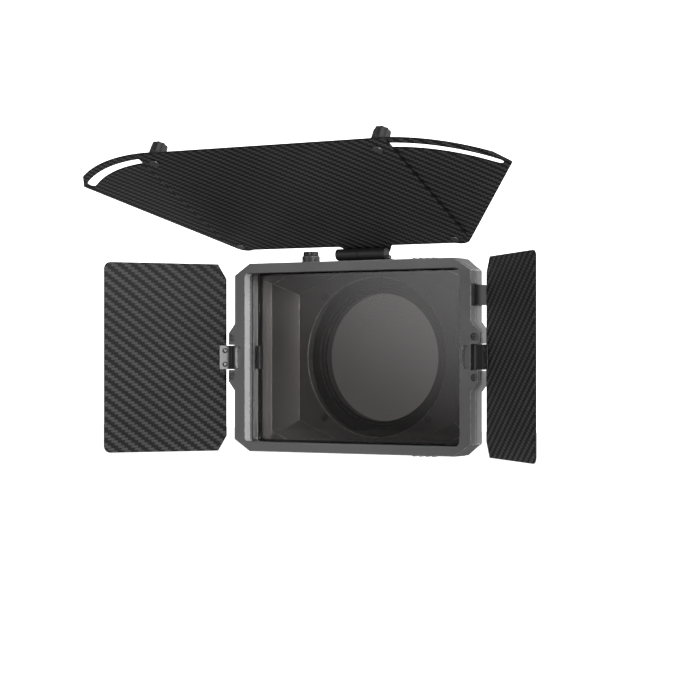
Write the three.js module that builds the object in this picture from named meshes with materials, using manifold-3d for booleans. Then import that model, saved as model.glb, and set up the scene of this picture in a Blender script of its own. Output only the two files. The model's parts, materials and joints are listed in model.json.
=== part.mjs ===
// A clip-on matte box (lens hood): a filter frame with a tilting top flag that carries two
// spreading wings, two side flags, a funnel behind the filter and a split clamp ring.
//
// Millimetres. +X is to the right seen from in front, +Y runs back towards the camera, +Z is up.
// The origin is the centre of the clamp ring's rear plane. Inside the hood group Y = 0 is the
// front face, so the group sits TOTAL_DEPTH forward of the origin.

import * as THREE from 'three';
import { mergeVertices } from 'three/addons/utils/BufferGeometryUtils.js';
import Module from 'manifold-3d';

const wasm = await Module();
wasm.setup();

// Filter and the opening in front of it
const FILTER_WIDTH = 143.5;
const FILTER_HEIGHT = 101.6;
const FILTER_THICKNESS = 4;
const OPENING_PLAY_X = 2;
const OPENING_LAP_Z = 0.6;
const OPENING_RADIUS = 3;
const RIM_X = 7.25;
const RIM_Z = 5.7;
const CORNER_X = 10.7;
const CORNER_Z = 7;

// Depths along Y, each piece's own length
const FRONT_DEPTH = 5.7;
const BAND_DEPTH = 8.3;
const STAGE_DEPTH = 16.3;
const SHELL_DEPTH = 11;
const PLATE_DEPTH = 5;
const RING_DEPTH = 10;

// Fits
const CLEARANCE = 0.25;
const RUNNING = 0.06;

// Filter seats
const SPARE_SLOT_START = 1.9;
const SPARE_SLOT_WIDTH = 2.3;
const SPARE_SLOT_BITE = 1.75;
const GLASS_SETBACK = 7.2;
const SEAL_THICKNESS = 0.8;
const SEAL_WIDTH = 1.4;
const FILTER_PLAY_Z = 0.5;
const STAGE_STEP_X = 4;

// Funnel between the filter and the back plate: half sizes and corner cuts at each end
const MOUTH_INSET_X = 0.75;
const MOUTH_INSET_Z = 0.8;
const THROAT_BEYOND_BORE_X = 5.7;
const THROAT_BEYOND_BORE_Z = 1.7;
const THROAT_CUT_X = 27;
const THROAT_CUT_Z = 11.5;
const SHELL_WALL_X = 4.7;
const SHELL_WALL_Z = 5;

// Rear clamp
const LENS_BORE = 47.6;
const RING_WALL = 6.9;
const RING_SPLIT = 2.4;
const LUG_LENGTH = 12;
const LUG_HEIGHT = 8;
const CLAMP_SCREW_RADIUS = 1.9;
const CLAMP_KNOB_RADIUS = 5.5;
const CLAMP_KNOB_HEIGHT = 8;
const ADAPTER_STEP = 9.35;
const ADAPTER_DEPTH = 7.3;
const BACK_SCREW_INSET = 3.32;
const BACK_SCREW_ANGLE = 45.95;
const BACK_SCREW_HEAD = 2.25;
const BACK_SCREW_RADIUS = 1.25;
const BACK_SCREW_GRIP = 5.5;

// Side hinge ears
const EAR_REACH = 4.5;
const EAR_HALF_HEIGHT = 14.5;
const EAR_SLOPE = 5.7;
const EAR_NOTCH = 7.5;
const NOTCH_INSET = 0.1;
const EAR_SCREW_Z = 11.5;
const EAR_SCREW_RADIUS = 1;
const EAR_SCREW_HEAD = 2;
const EAR_SLIT = 1.2;
const EAR_SLIT_END = 13.8;
const SIDE_PIN_RADIUS = 0.8;
const SIDE_PIN_HALF = 9.4;
const SIDE_PIN_OUT = 1.5;
const SIDE_PIN_Y = 3.4;
const POCKET_DEPTH = 2;
const POCKET_WIDTH = 5;
const POCKET_HALF = 6.7;

// Side flags
const SIDE_REST_LEFT = 33.84;
const SIDE_REST_RIGHT = 46.15;
const SIDE_FLAG_START = 3.75;
const SIDE_FLAG_GAP = 0.3;
const SIDE_FLAG_PROUD = 0.1;
const SIDE_FLAG_OFFSET = 4.8;
const SIDE_FLAG_CUT_U = 5.5;
const SIDE_FLAG_CUT_Z = 9;
const SIDE_FLAG_RADIUS = 4;
const FLAG_THICKNESS = 1.2;
const KNUCKLE_RADIUS = 1.45;
const LEAF_SHEET = 0.8;
const LEAF_HALF = 7.2;
const LEAF_LENGTH = 8.8;
const LEAF_SCREW_U = 5.4;
const LEAF_SCREW_Z = 4.1;
const LEAF_SCREW_RADIUS = 0.8;
const LEAF_SCREW_HEAD = 1.5;

// Top flag and its hinge
const TOP_TILT = 26.34;
const HINGE_X = 4.45;
const HINGE_Y = 5.2;
const BARREL_RADIUS = 3.4;
const BARREL_GAP = 0.4;
const BARREL_HALF = 14.75;
const KNUCKLE_GAP = 0.15;
const LOBE_LENGTH = 3.2;
const HINGE_PIN_RADIUS = 1.2;
const FOOT_START = 0.7;
const FOOT_BACK = 12.3;
const FOOT_THICKNESS = 0.85;
const FOOT_SCREW_X = 8;
const FOOT_SCREW_INSET = 2.5;
const FOOT_SCREW_HOLE = 1.3;
const BASE_LIFT = 0.02;
const TENSION_SCREW_RISE = 1.5;
const FLAG_X = -2.4;
const PANEL_REACH = 2.67;
const PANEL_GAP = 0.16;
const PANEL_OVERHANG = 1.2;
const PANEL_LENGTH = 110.8;
const PANEL_CUT_X = 11;
const PANEL_CUT_S = 7.5;
const TAB_X = 8.9;
const TAB_HALF_ROOT = 17.7;
const TAB_HALF_TIP = 13.1;
const TAB_PAST_BARREL = 2.23;
const TOP_LEAF_LAP = 0.45;
const PEDESTAL_LAP = 0.6;
const TOP_LEAF_THICKNESS = 1.3;
const PANEL_SCREW_X = 8.5;
const PANEL_SCREW_INSET = 1.4;
const PANEL_SCREW_RADIUS = 0.7;
const PANEL_SCREW_HEAD = 1.4;

// Wings
const WING_PIVOT_INSET = 8.7;
const WING_PIVOT_S = 5.5;
const WING_SPREAD = 38;
const WING_RIM = 7.11;
const WING_EDGE = 8.9;
const WING_INNER_ANGLE = -40.6;
const WING_TIP_CUT_X = 11.7;
const WING_TIP_CUT_S = 4.2;
const WING_TIP_ROUND = 5;
const WING_SLOT_INNER = -38;
const WING_SLOT_OUTER = 1.5;
const WING_SLOT_WIDTH = 5.15;
const WING_BOLT_INSET_X = 8.5;
const WING_BOLT_INSET_S = 8.9;
const WING_BOLT_RADIUS = 2.2;
const WING_BOLT_HEAD = 2.9;
const PIVOT_RADIUS = 1.6;
const PIVOT_HEAD = 3.5;
const KNOB_RADIUS = 5.2;
const KNOB_HEIGHT = 8.4;
const FLUTES = 10;
const FLUTE_DEPTH = 0.5;
const WASHER_RADIUS = 5;
const WASHER_THICKNESS = 0.7;

// Filter lock knob on the top
const LOCK_X = -35;
const LOCK_COLLAR_RADIUS = 5.3;
const LOCK_COLLAR_HEIGHT = 4.1;
const LOCK_KNOB_RADIUS = 4.8;
const LOCK_KNOB_HEIGHT = 2.7;
const LOCK_SHAFT_RADIUS = 2;
const LOCK_PAD_THICKNESS = 1;

// Side latch
const LATCH_BELOW_TOP = 15.3;
const LATCH_HEIGHT = 11.5;
const LATCH_INSET = 1.4;
const LATCH_PIN_Y = 4.1;
const LATCH_PIN_RADIUS = 0.65;
const LATCH_BARREL = 1.4;
const LATCH_COVER = 0.3;
const LATCH_THICKNESS = 2.3;
const LATCH_POCKET = 4.1;
const LATCH_HOOK = 2.2;
const LATCH_HOOK_REACH = 2.2;

// Grip ridges beside the opening
const RIDGE_COUNT = 4;
const RIDGE_START = 43;
const RIDGE_PITCH = 4.2;
const RIDGE_RADIUS = 1.2;
const RIDGE_PROUD = 0.5;

// Worked out from the sizes above
const OPENING_WIDTH = FILTER_WIDTH + OPENING_PLAY_X;
const OPENING_HEIGHT = FILTER_HEIGHT - OPENING_LAP_Z;
const HALF_WIDTH = OPENING_WIDTH / 2 + RIM_X;
const HALF_HEIGHT = OPENING_HEIGHT / 2 + RIM_Z;
const BAND_END = FRONT_DEPTH + BAND_DEPTH;
const STAGE_END = FRONT_DEPTH + STAGE_DEPTH;
const SHELL_END = STAGE_END + SHELL_DEPTH;
const PLATE_END = SHELL_END + PLATE_DEPTH;
const TOTAL_DEPTH = PLATE_END + RING_DEPTH;
const GLASS_FRONT = FRONT_DEPTH + GLASS_SETBACK;
const GLASS_BACK = GLASS_FRONT + FILTER_THICKNESS;
const SEAL_BACK = GLASS_BACK + SEAL_THICKNESS + 0.1;
const EAR_X = HALF_WIDTH + EAR_REACH;
const SIDE_PIN_X = HALF_WIDTH + SIDE_PIN_OUT;
const CAVITY_HALF_HEIGHT = FILTER_HEIGHT / 2 + FILTER_PLAY_Z;
const CAVITY_HALF_WIDTH = OPENING_WIDTH / 2;
const MOUTH_X = FILTER_WIDTH / 2 - MOUTH_INSET_X;
const MOUTH_Z = FILTER_HEIGHT / 2 - MOUTH_INSET_Z;
const FUNNEL_MOUTH = { x: MOUTH_X, z: MOUTH_Z, cutX: 5, cutZ: 3 };
const THROAT_X = LENS_BORE + THROAT_BEYOND_BORE_X;
const THROAT_Z = LENS_BORE + THROAT_BEYOND_BORE_Z;
const FUNNEL_THROAT = { x: THROAT_X, z: THROAT_Z, cutX: THROAT_CUT_X, cutZ: THROAT_CUT_Z };
const ADAPTER_BORE = LENS_BORE - ADAPTER_STEP;
const SIDE_FLAG_HALF = HALF_HEIGHT + SIDE_FLAG_PROUD;
const HINGE_Z = HALF_HEIGHT + BARREL_RADIUS + BARREL_GAP;
const PANEL_RISE = BARREL_RADIUS + PANEL_GAP;
const TAB_LENGTH = PANEL_REACH + BARREL_RADIUS + TAB_PAST_BARREL;
const PANEL_HALF_WIDTH = HALF_WIDTH + PANEL_OVERHANG;
const FOOT_SCREW_Y = HINGE_Y + FOOT_BACK - FOOT_SCREW_INSET;
const LOCK_Y = (GLASS_FRONT + GLASS_BACK) / 2;
const LATCH_PIN_X = HALF_WIDTH - LATCH_INSET;
const LATCH_HIGH = HALF_HEIGHT - LATCH_BELOW_TOP;
const LATCH_LOW = LATCH_HIGH - LATCH_HEIGHT;
const WING_BASE = FLAG_THICKNESS + CLEARANCE;
const WING_TOP = WING_BASE + FLAG_THICKNESS;
const WING_PIVOT_X = PANEL_HALF_WIDTH - WING_PIVOT_INSET;
const WING_BOLT_X = PANEL_HALF_WIDTH - WING_BOLT_INSET_X;
const WING_BOLT_S = PANEL_LENGTH - WING_BOLT_INSET_S;
const WING_SLOT_RADIUS = Math.hypot(WING_BOLT_X - WING_PIVOT_X, WING_BOLT_S - WING_PIVOT_S);
const WING_RADIUS = WING_SLOT_RADIUS + WING_RIM;
const PAST = 1;
const FEW_SIDES = 12;
const MANY_SIDES = 48;

const ANODISED = { color: 0x4e4f51, roughness: 0.55, metalness: 0.6 };
const BLACK_METAL = { color: 0x1c1c1e, roughness: 0.4, metalness: 0.7 };
const CARBON = { color: 0x303133, roughness: 0.45, metalness: 0.1 };
const STEEL = { color: 0x55575a, roughness: 0.35, metalness: 0.9 };
const SMOKED_GLASS = { color: 0x2b2a2b, roughness: 0.05, metalness: 0 };
const FOAM = { color: 0x141414, roughness: 0.95, metalness: 0 };
const RUBBER = { color: 0x1a1a1b, roughness: 0.8, metalness: 0 };

const radians = THREE.MathUtils.degToRad;

// Solids and cuts

function solidOf(geometry) {
  const bare = geometry.clone();
  bare.deleteAttribute('normal');
  bare.deleteAttribute('uv');
  const merged = mergeVertices(bare, 1e-4);
  const triangles = [];
  for (let i = 0; i < merged.index.count; i += 3) {
    const [a, b, c] = [0, 1, 2].map((k) => merged.index.getX(i + k));
    if (a !== b && b !== c && c !== a) triangles.push(a, b, c);
  }
  return new wasm.Manifold(new wasm.Mesh({
    numProp: 3,
    vertProperties: new Float32Array(merged.attributes.position.array),
    triVerts: new Uint32Array(triangles),
  }));
}

function geometryOf(solid) {
  const mesh = solid.getMesh();
  const geometry = new THREE.BufferGeometry();
  geometry.setAttribute('position', new THREE.BufferAttribute(new Float32Array(mesh.vertProperties), 3));
  geometry.setIndex(new THREE.BufferAttribute(new Uint32Array(mesh.triVerts), 1));
  return geometry;
}

function cut(base, tools) {
  return geometryOf(tools.reduce((solid, tool) => solid.subtract(solidOf(tool)), solidOf(base)));
}

function join(pieces) {
  return geometryOf(pieces.map(solidOf).reduce((solid, other) => solid.add(other)));
}

function mirrored(geometry) {
  const flipped = geometry.index ? geometry.toNonIndexed() : geometry.clone();
  const position = flipped.scale(-1, 1, 1).attributes.position;
  const corner = new THREE.Vector3();
  const other = new THREE.Vector3();
  for (let i = 0; i < position.count; i += 3) {
    corner.fromBufferAttribute(position, i + 1);
    other.fromBufferAttribute(position, i + 2);
    position.setXYZ(i + 1, other.x, other.y, other.z);
    position.setXYZ(i + 2, corner.x, corner.y, corner.z);
  }
  return flipped;
}

// Outlines

function polygon(points) {
  return new THREE.Shape(points.map(([x, y]) => new THREE.Vector2(x, y)));
}

function octagonPoints({ x, z, cutX, cutZ }) {
  return [
    [x, z - cutZ], [x - cutX, z], [cutX - x, z], [-x, z - cutZ],
    [-x, cutZ - z], [cutX - x, -z], [x - cutX, -z], [x, cutZ - z],
  ];
}

function roundedRectangle(halfWidth, halfHeight, radius, x = 0, z = 0) {
  const shape = new THREE.Shape();
  const innerX = halfWidth - radius;
  const innerZ = halfHeight - radius;
  shape.absarc(x + innerX, z + innerZ, radius, 0, Math.PI / 2);
  shape.absarc(x - innerX, z + innerZ, radius, Math.PI / 2, Math.PI);
  shape.absarc(x - innerX, z - innerZ, radius, Math.PI, Math.PI * 1.5);
  shape.absarc(x + innerX, z - innerZ, radius, Math.PI * 1.5, Math.PI * 2);
  return shape;
}

// The fluted outline of a knurled knob
function fluted(radius, flutes, depth) {
  const points = [];
  for (let i = 0; i < flutes * 4; i += 1) {
    const angle = (i / (flutes * 4)) * Math.PI * 2;
    const reach = radius - (i % 4 < 2 ? 0 : depth);
    points.push([reach * Math.cos(angle), reach * Math.sin(angle)]);
  }
  return polygon(points);
}

// Extrusions and turned pieces

function column(shape, z0, z1, curveSegments = 3) {
  const options = { depth: z1 - z0, bevelEnabled: false, curveSegments };
  return new THREE.ExtrudeGeometry(shape, options).translate(0, 0, z0);
}

function slab(shape, y0, y1, curveSegments = 3) {
  return column(shape, 0, y1 - y0, curveSegments).rotateX(Math.PI / 2).translate(0, y1, 0);
}

function bar(shape, x0, x1) {
  return column(shape, 0, x1 - x0).rotateX(Math.PI / 2).rotateZ(Math.PI / 2).translate(x0, 0, 0);
}

function block(x0, x1, y0, y1, z0, z1) {
  const box = new THREE.BoxGeometry(x1 - x0, y1 - y0, z1 - z0);
  return box.translate((x0 + x1) / 2, (y0 + y1) / 2, (z0 + z1) / 2);
}

// Turned about the Y axis; the profile runs from low Y to high Y on its outside
function turned(profile, segments = FEW_SIDES) {
  return new THREE.LatheGeometry(profile.map(([r, y]) => new THREE.Vector2(r, y)), segments);
}

function rodY(radius, y0, y1, x, z, segments = FEW_SIDES) {
  return new THREE.CylinderGeometry(radius, radius, y1 - y0, segments).translate(x, (y0 + y1) / 2, z);
}

function rodZ(radius, z0, z1, x, y, segments = FEW_SIDES) {
  return new THREE.CylinderGeometry(radius, radius, z1 - z0, segments)
    .rotateX(Math.PI / 2).translate(x, y, (z0 + z1) / 2);
}

function rodX(radius, x0, x1, y, z, segments = FEW_SIDES) {
  return new THREE.CylinderGeometry(radius, radius, x1 - x0, segments)
    .rotateZ(Math.PI / 2).translate((x0 + x1) / 2, y, z);
}

// Skins two octagons of eight corners each, at y0 and y1
function loft(front, y0, back, y1) {
  const ring = (section, y) => octagonPoints(section).map(([x, z]) => [x, y, z]);
  const corners = [...ring(front, y0), ...ring(back, y1)];
  const triangles = [];
  for (let i = 0; i < 8; i += 1) {
    const next = (i + 1) % 8;
    triangles.push(i, i + 8, next, next, i + 8, next + 8);
  }
  for (let i = 1; i < 7; i += 1) {
    triangles.push(0, i, i + 1, 8, i + 9, i + 8);
  }
  const geometry = new THREE.BufferGeometry();
  geometry.setAttribute('position', new THREE.Float32BufferAttribute(corners.flat(), 3));
  geometry.setIndex(triangles);
  return geometry;
}

// A screw along -Z: head on top of z = 0, shank below it
function screw(headRadius, headHeight, shankRadius, shankLength) {
  return turned([
    [0, -shankLength], [shankRadius, -shankLength], [shankRadius, 0], [headRadius, 0],
    [headRadius, headHeight * 0.6], [headRadius * 0.82, headHeight], [0, headHeight],
  ]).rotateX(Math.PI / 2);
}

const part = new THREE.Group();
const hood = new THREE.Group();
hood.position.y = -TOTAL_DEPTH;
part.add(hood);

function add(name, geometry, finish, parent = hood) {
  const mesh = new THREE.Mesh(geometry, new THREE.MeshStandardMaterial(finish));
  mesh.name = name;
  parent.add(mesh);
  return mesh;
}

const SIDES = [['left', -1], ['right', 1]];

// Frame and filter stage

// The frame's outline, with an ear on each side that is notched for the side flag's knuckle
function earedOutline() {
  const notchX = HALF_WIDTH - NOTCH_INSET;
  const slopeZ = EAR_HALF_HEIGHT + EAR_SLOPE;
  const quarter = [
    [notchX, 0], [notchX, EAR_NOTCH], [EAR_X, EAR_NOTCH], [EAR_X, EAR_HALF_HEIGHT],
    [HALF_WIDTH, slopeZ], [HALF_WIDTH, HALF_HEIGHT - CORNER_Z], [HALF_WIDTH - CORNER_X, HALF_HEIGHT],
  ];
  const top = [...quarter, ...quarter.map(([x, z]) => [-x, z]).reverse()];
  const bottom = top.slice(1, -1).map(([x, z]) => [x, -z]).reverse();
  return polygon([...top, ...bottom]);
}

// Room in both pieces for the latch's barrel and thumb edge to turn
function latchPocket() {
  const play = 0.4;
  const front = LATCH_PIN_Y - 2.9;
  const back = LATCH_PIN_Y + 3;
  return block(HALF_WIDTH - LATCH_POCKET, EAR_X, front, back, LATCH_LOW - play, LATCH_HIGH + play);
}

function gripRidges() {
  const ridges = [];
  for (let i = 0; i < RIDGE_COUNT; i += 1) {
    for (const side of [-1, 1]) {
      const z = side * (HALF_HEIGHT - RIDGE_RADIUS + RIDGE_PROUD);
      ridges.push(rodY(RIDGE_RADIUS, 0.6, FRONT_DEPTH - 0.4, RIDGE_START + i * RIDGE_PITCH, z));
    }
  }
  return ridges;
}

function frontFrame() {
  const opening = roundedRectangle(OPENING_WIDTH / 2, OPENING_HEIGHT / 2, OPENING_RADIUS);
  const tools = [slab(opening, -PAST, FRONT_DEPTH + PAST), latchPocket()];
  const pinHole = LATCH_PIN_RADIUS + RUNNING;
  tools.push(latchRod(pinHole, 2.4));
  for (const [, side] of SIDES) {
    const pocketX = side * (SIDE_PIN_X - LEAF_SCREW_U + 0.7);
    const round = POCKET_WIDTH / 2 - 0.01;
    const pocket = roundedRectangle(POCKET_WIDTH / 2, POCKET_HALF, round, pocketX, 0);
    const pinReach = SIDE_PIN_HALF + 0.2;
    tools.push(slab(pocket, -PAST, POCKET_DEPTH));
    tools.push(rodZ(SIDE_PIN_RADIUS + RUNNING, -pinReach, pinReach, side * SIDE_PIN_X, SIDE_PIN_Y));
    for (const end of [-1, 1]) {
      const x = side * (HALF_WIDTH + EAR_REACH / 2 - 0.15);
      const slitZ = [end * (EAR_NOTCH - PAST), end * EAR_SLIT_END].sort((a, b) => a - b);
      const slitX = [side * (HALF_WIDTH + 0.5), side * (EAR_X + PAST)].sort((a, b) => a - b);
      tools.push(rodY(EAR_SCREW_RADIUS + 0.15, -PAST, FRONT_DEPTH + PAST, x, end * EAR_SCREW_Z));
      tools.push(rodY(EAR_SCREW_HEAD + 0.12, -PAST, 1.3, x, end * EAR_SCREW_Z));
      tools.push(block(...slitX, SIDE_PIN_Y - EAR_SLIT / 2, SIDE_PIN_Y + EAR_SLIT / 2, ...slitZ));
    }
  }
  return cut(join([slab(earedOutline(), 0, FRONT_DEPTH), ...gripRidges()]), tools);
}

function filterStage() {
  const step = { x: HALF_WIDTH - STAGE_STEP_X, z: HALF_HEIGHT, cutX: CORNER_X - 2, cutZ: CORNER_Z };
  const body = join([
    slab(earedOutline(), FRONT_DEPTH, BAND_END),
    slab(polygon(octagonPoints(step)), BAND_END - PAST, STAGE_END),
  ]);
  const slotStart = FRONT_DEPTH + SPARE_SLOT_START;
  const slotHalf = CAVITY_HALF_WIDTH + SPARE_SLOT_BITE;
  const slotEnd = slotStart + SPARE_SLOT_WIDTH;
  const cavity = roundedRectangle(CAVITY_HALF_WIDTH, CAVITY_HALF_HEIGHT, OPENING_RADIUS);
  const topWall = HALF_HEIGHT + PAST;
  const tools = [
    slab(cavity, FRONT_DEPTH - PAST, SEAL_BACK),
    block(-slotHalf, slotHalf, slotStart, slotEnd, -CAVITY_HALF_HEIGHT, CAVITY_HALF_HEIGHT),
    funnel(),
    latchPocket(),
    rodZ(LOCK_SHAFT_RADIUS + 0.2, CAVITY_HALF_HEIGHT - PAST, topWall, LOCK_X, LOCK_Y),
  ];
  for (const x of footScrewPlaces()) {
    tools.push(rodZ(FOOT_SCREW_HOLE, HALF_HEIGHT - 4, topWall, x, FOOT_SCREW_Y));
  }
  return cut(body, tools);
}

// The funnel's inside, from the seal to the back plate
function funnel() {
  return loft(FUNNEL_MOUTH, SEAL_BACK - 0.05, FUNNEL_THROAT, SHELL_END + 0.05);
}

function outerThroat() {
  return {
    x: FUNNEL_THROAT.x + SHELL_WALL_X,
    z: FUNNEL_THROAT.z + SHELL_WALL_Z,
    cutX: FUNNEL_THROAT.cutX + 3,
    cutZ: FUNNEL_THROAT.cutZ + 3,
  };
}

function hoodShell() {
  const inset = 1.5;
  const x = HALF_WIDTH - STAGE_STEP_X - inset;
  const front = { x, z: HALF_HEIGHT - inset, cutX: CORNER_X, cutZ: CORNER_Z };
  return cut(loft(front, STAGE_END, outerThroat(), SHELL_END), [funnel()]);
}

function backScrewPlaces() {
  const pitch = LENS_BORE + BACK_SCREW_INSET;
  const across = pitch * Math.cos(radians(BACK_SCREW_ANGLE));
  const up = pitch * Math.sin(radians(BACK_SCREW_ANGLE));
  return [[-across, up], [across, up], [-across, -up], [across, -up]];
}

function backPlate() {
  const hole = BACK_SCREW_RADIUS + CLEARANCE;
  const holes = backScrewPlaces().map(([x, z]) => rodY(hole, SHELL_END - PAST, PLATE_END + PAST, x, z));
  const bore = rodY(LENS_BORE, SHELL_END - PAST, PLATE_END + PAST, 0, 0, MANY_SIDES);
  return cut(slab(polygon(octagonPoints(outerThroat())), SHELL_END, PLATE_END), [bore, ...holes]);
}

function ringHousing() {
  const ring = rodY(LENS_BORE + RING_WALL, PLATE_END, TOTAL_DEPTH, 0, 0, MANY_SIDES);
  const lugEnd = LENS_BORE + RING_WALL + LUG_LENGTH;
  const lugs = block(-lugEnd, -LENS_BORE - 2, PLATE_END, TOTAL_DEPTH, -LUG_HEIGHT, LUG_HEIGHT);
  const hole = BACK_SCREW_RADIUS + 0.15;
  const holeEnd = PLATE_END + BACK_SCREW_GRIP + 0.7;
  const holes = backScrewPlaces().map(([x, z]) => rodY(hole, PLATE_END - PAST, holeEnd, x, z));
  const split = RING_SPLIT / 2;
  return cut(join([ring, lugs]), [
    rodY(LENS_BORE, PLATE_END - PAST, TOTAL_DEPTH + PAST, 0, 0, MANY_SIDES),
    block(-lugEnd - PAST, -LENS_BORE + 2, PLATE_END - PAST, TOTAL_DEPTH + PAST, -split, split),
    rodZ(CLAMP_SCREW_RADIUS + 0.15, -LUG_HEIGHT - PAST, LUG_HEIGHT + PAST, ...clampScrewPlace()),
    ...holes,
  ]);
}

function clampScrewPlace() {
  return [-(LENS_BORE + RING_WALL + LUG_LENGTH / 2 + 0.5), (PLATE_END + TOTAL_DEPTH) / 2];
}

function clampScrew() {
  const base = LUG_HEIGHT + 0.4;
  const knob = column(fluted(CLAMP_KNOB_RADIUS, FLUTES, FLUTE_DEPTH), base, base + CLAMP_KNOB_HEIGHT);
  const shank = rodZ(CLAMP_SCREW_RADIUS, -LUG_HEIGHT + 0.5, LUG_HEIGHT + PAST, 0, 0);
  return join([knob, shank]).translate(...clampScrewPlace(), 0);
}

function adapterRing() {
  const outer = LENS_BORE - 0.15;
  const front = PLATE_END + CLEARANCE;
  const back = front + ADAPTER_DEPTH;
  return turned([
    [outer, front], [outer, back], [ADAPTER_BORE, back], [ADAPTER_BORE, front + 2.2],
    [ADAPTER_BORE + 1.7, front + 2.2], [ADAPTER_BORE + 1.7, front + 1],
    [ADAPTER_BORE + 3.8, front + 1], [ADAPTER_BORE + 3.8, front], [outer, front],
  ], MANY_SIDES);
}

add('front_frame', frontFrame(), ANODISED);
add('filter_stage', filterStage(), ANODISED);
add('hood_shell', hoodShell(), ANODISED);
add('back_plate', backPlate(), ANODISED);
add('ring_housing', ringHousing(), BLACK_METAL);
add('adapter_ring', adapterRing(), BLACK_METAL);
add('ring_clamp_screw', clampScrew(), BLACK_METAL);
backScrewPlaces().forEach(([x, z], i) => {
  const geometry = screw(BACK_SCREW_HEAD, 1, BACK_SCREW_RADIUS, PLATE_DEPTH + BACK_SCREW_GRIP);
  add(`back_screw_${i + 1}`, geometry.rotateX(Math.PI / 2).translate(x, SHELL_END - 0.1, z), STEEL);
});

// Filter, its seal and clips

const glassOutline = roundedRectangle(FILTER_WIDTH / 2, FILTER_HEIGHT / 2, OPENING_RADIUS - 0.5);
add('filter_glass', slab(glassOutline, GLASS_FRONT, GLASS_BACK), SMOKED_GLASS);

function seal() {
  const outline = (inset, radius) => (
    roundedRectangle(FILTER_WIDTH / 2 - inset, FILTER_HEIGHT / 2 - inset, radius)
  );
  const strip = slab(outline(0.1, OPENING_RADIUS - 0.5), GLASS_BACK + 0.05, GLASS_BACK + SEAL_THICKNESS);
  return cut(strip, [slab(outline(SEAL_WIDTH, 1.5), GLASS_BACK - PAST, SEAL_BACK + PAST)]);
}

add('filter_seal', seal(), FOAM);

for (const [name, side] of SIDES) {
  const wall = CAVITY_HALF_WIDTH - 0.15;
  const back = GLASS_FRONT - 0.15;
  const clip = column(polygon([
    [wall, back - 0.5], [wall - 1.6, back - 2.2], [wall - 3.6, back - 2.2], [wall - 3.6, back], [wall, back],
  ]), -6.9, 6.9);
  add(`filter_clip_${name}`, side > 0 ? clip : mirrored(clip), BLACK_METAL);
}

// Filter lock on the top

const collarTop = HALF_HEIGHT + LOCK_COLLAR_HEIGHT;
add('lock_knob_collar', cut(
  rodZ(LOCK_COLLAR_RADIUS, HALF_HEIGHT + BASE_LIFT, collarTop, LOCK_X, LOCK_Y, 20),
  [rodZ(LOCK_SHAFT_RADIUS + 0.2, HALF_HEIGHT - PAST, collarTop + PAST, LOCK_X, LOCK_Y)],
), ANODISED);
const lockBase = collarTop + 0.1;
add('filter_lock_knob', join([
  column(fluted(LOCK_KNOB_RADIUS, FLUTES, FLUTE_DEPTH), lockBase, lockBase + LOCK_KNOB_HEIGHT),
  rodZ(LOCK_SHAFT_RADIUS, FILTER_HEIGHT / 2 + 0.2 + LOCK_PAD_THICKNESS, collarTop + PAST, 0, 0),
]).translate(LOCK_X, LOCK_Y, 0), BLACK_METAL);
const padBase = FILTER_HEIGHT / 2 + 0.1;
const padTop = padBase + LOCK_PAD_THICKNESS;
add('lock_pad', rodZ(LOCK_SHAFT_RADIUS - 0.1, padBase, padTop, LOCK_X, LOCK_Y), RUBBER);

// Side latch that holds the front frame on the filter stage

function latch() {
  const face = HALF_WIDTH + LATCH_COVER;
  const crown = HALF_WIDTH + LATCH_COVER + LATCH_THICKNESS;
  const hookFront = BAND_END + 0.3;
  const hookBack = hookFront + LATCH_HOOK;
  const outline = new THREE.Shape();
  outline.moveTo(LATCH_PIN_X, LATCH_PIN_Y + LATCH_BARREL - 0.1);
  outline.lineTo(LATCH_PIN_X, LATCH_PIN_Y);
  outline.lineTo(LATCH_PIN_X + LATCH_BARREL - 0.1, LATCH_PIN_Y);
  outline.quadraticCurveTo(crown, LATCH_PIN_Y + 1.6, crown, LATCH_PIN_Y + 5.6);
  outline.lineTo(crown, hookBack - 1);
  outline.lineTo(crown - 1, hookBack);
  outline.lineTo(HALF_WIDTH - LATCH_HOOK_REACH, hookBack);
  outline.lineTo(HALF_WIDTH - LATCH_HOOK_REACH, hookFront);
  outline.lineTo(face, hookFront);
  outline.lineTo(face, LATCH_PIN_Y + LATCH_BARREL + 0.6);
  const thumbFront = LATCH_PIN_Y - 2.3;
  const thumb = block(LATCH_PIN_X - 0.6, HALF_WIDTH, thumbFront, LATCH_PIN_Y, LATCH_LOW, LATCH_HIGH);
  const body = join([
    column(outline, LATCH_LOW, LATCH_HIGH),
    rodZ(LATCH_BARREL, LATCH_LOW, LATCH_HIGH, LATCH_PIN_X, LATCH_PIN_Y),
    thumb,
  ]);
  return cut(body, [latchRod(LATCH_PIN_RADIUS + RUNNING, PAST)]);
}

// A rod on the latch's axis that stands out past both of its ends
function latchRod(radius, past) {
  return rodZ(radius, LATCH_LOW - past, LATCH_HIGH + past, LATCH_PIN_X, LATCH_PIN_Y);
}

add('side_latch', latch(), BLACK_METAL);
add('latch_pin', latchRod(LATCH_PIN_RADIUS, 2.2), STEEL);

// Side hinge pins and the screws that pinch them

for (const [name, side] of SIDES) {
  const pin = rodZ(SIDE_PIN_RADIUS, -SIDE_PIN_HALF, SIDE_PIN_HALF, side * SIDE_PIN_X, SIDE_PIN_Y);
  add(`side_pin_${name}`, pin, STEEL);
  [-1, 1].forEach((end, i) => {
    const x = side * (HALF_WIDTH + EAR_REACH / 2 - 0.15);
    const geometry = screw(EAR_SCREW_HEAD, 1.1, EAR_SCREW_RADIUS, FRONT_DEPTH - 1.7);
    const place = geometry.rotateX(Math.PI / 2).translate(x, 1.25, end * EAR_SCREW_Z);
    add(`ear_screw_${name}_${i + 1}`, place, STEEL);
  });
}

// Top hinge, which stands a little to the right of the middle

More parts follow.
